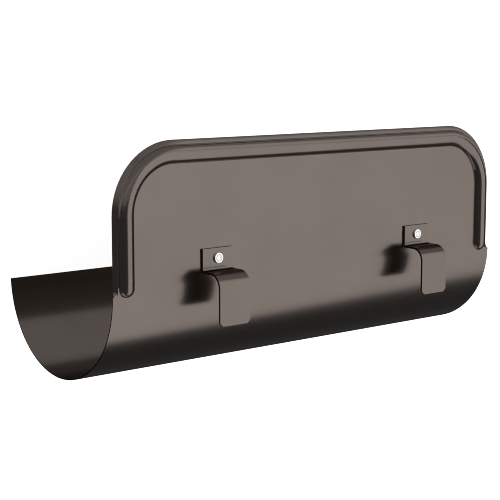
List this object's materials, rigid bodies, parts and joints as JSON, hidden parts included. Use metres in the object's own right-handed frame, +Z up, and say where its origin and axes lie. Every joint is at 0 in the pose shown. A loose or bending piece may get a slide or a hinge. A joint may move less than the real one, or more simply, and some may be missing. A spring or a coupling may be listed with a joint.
{
  "type": "gutter overflow guard",
  "caption": "Half-round trough insert with an upright splash plate, pressed edge bead and riveted hook clips that keeps water from overshooting a gutter.",
  "frame": {"origin": "on the floor, under the middle of the guard's box as it lies mouth-down", "axes": "+X along the gutter, +Z up from the floor, the splash plate's outer face looking to -Y and up"},
  "size_m": [0.35, 0.17, 0.1067],
  "materials": {
    "coated_sheet": "satin brown coated steel",
    "coated_clip": "satin brown coated steel",
    "rivet": "bright"
  },
  "bodies": {
    "root": {"guard_sheet": "coated_sheet", "clip_left": "coated_clip", "clip_right": "coated_clip", "rivet_left": "rivet", "rivet_right": "rivet"}
  },
  "joints": []
}
